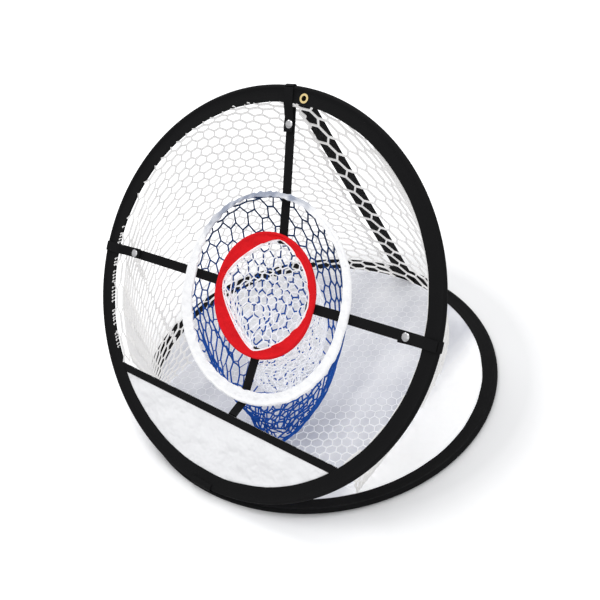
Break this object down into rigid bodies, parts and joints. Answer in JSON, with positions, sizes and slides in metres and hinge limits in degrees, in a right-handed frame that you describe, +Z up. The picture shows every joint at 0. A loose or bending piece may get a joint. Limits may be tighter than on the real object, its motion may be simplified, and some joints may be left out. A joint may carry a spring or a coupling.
{
  "type": "golf chipping net",
  "caption": "Pop-up golf chipping net: a leaning spring hoop on a flat hoop base, with ring targets, net pockets and a catch net that folds flat.",
  "frame": {"origin": "centre of the base hoop on the ground", "axes": "+Z up, -Y towards the player, +X to the player's right"},
  "size_m": [0.6131, 0.6123, 0.5007],
  "materials": {
    "black_cloth": "coated woven cloth, dull",
    "black_webbing": "woven webbing, dull",
    "white_cloth": "coated woven cloth",
    "red_cloth": "coated woven cloth",
    "white_net": "knitted mesh",
    "blue_net": "knitted mesh",
    "spring_steel": "bright drawn wire",
    "snap_metal": "nickel plated",
    "eyelet_metal": "lacquered"
  },
  "bodies": {
    "base": {"base_wire": "spring_steel", "base_ferrule": "spring_steel", "base_sleeve": "black_cloth", "floor_panel": "white_cloth", "floor_net": "white_net", "hinge_loop": "black_webbing", "tether": "black_webbing"},
    "front_frame": {"front_wire": "spring_steel", "front_ferrule": "spring_steel", "front_sleeve": "black_cloth", "front_panel": "white_cloth", "panel_band": "black_webbing", "top_strap": "black_webbing", "left_strap": "black_webbing", "right_strap": "black_webbing", "bottom_strap": "black_webbing", "outer_ring_wire": "spring_steel", "outer_ring_ferrule": "spring_steel", "outer_ring_sleeve": "white_cloth", "inner_ring_wire": "spring_steel", "inner_ring_ferrule": "spring_steel", "inner_ring_sleeve": "red_cloth", "outer_pocket": "blue_net", "inner_pocket": "white_net", "catch_net": "white_net", "eyelet": "eyelet_metal", "eyelet_washer": "eyelet_metal", "snap_studs": "snap_metal", "snap_posts": "snap_metal"},
    "top_flap": {"top_flap": "black_webbing", "top_snap_cap": "snap_metal", "top_snap_socket": "snap_metal"},
    "left_flap": {"left_flap": "black_webbing", "left_snap_cap": "snap_metal", "left_snap_socket": "snap_metal"},
    "right_flap": {"right_flap": "black_webbing", "right_snap_cap": "snap_metal", "right_snap_socket": "snap_metal"}
  },
  "joints": [
    {"name": "front_fold", "type": "hinge", "parent": "base", "child": "front_frame", "pos_m": [0, -0.301, 0.0146], "axis": [1, 0, 0], "range_deg": [-48.5, 0], "stiffness_Nm_per_rad": 0.8, "springref_deg": 91.67, "deforming": ["catch_net", "tether", "outer_pocket", "inner_pocket"]},
    {"name": "top_flap_open", "type": "hinge", "parent": "front_frame", "child": "top_flap", "pos_m": [-0.02623, 0.05653, 0.49753], "axis": [-0.9962, -0.0525, -0.0696], "range_deg": [0, 95]},
    {"name": "left_flap_open", "type": "hinge", "parent": "front_frame", "child": "left_flap", "pos_m": [-0.30082, -0.13025, 0.24967], "axis": [0.0349, -0.6014, -0.7981], "range_deg": [0, 95]},
    {"name": "right_flap_open", "type": "hinge", "parent": "front_frame", "child": "right_flap", "pos_m": [0.30007, -0.10971, 0.27692], "axis": [-0.0785, 0.6, 0.7962], "range_deg": [0, 95]}
  ]
}
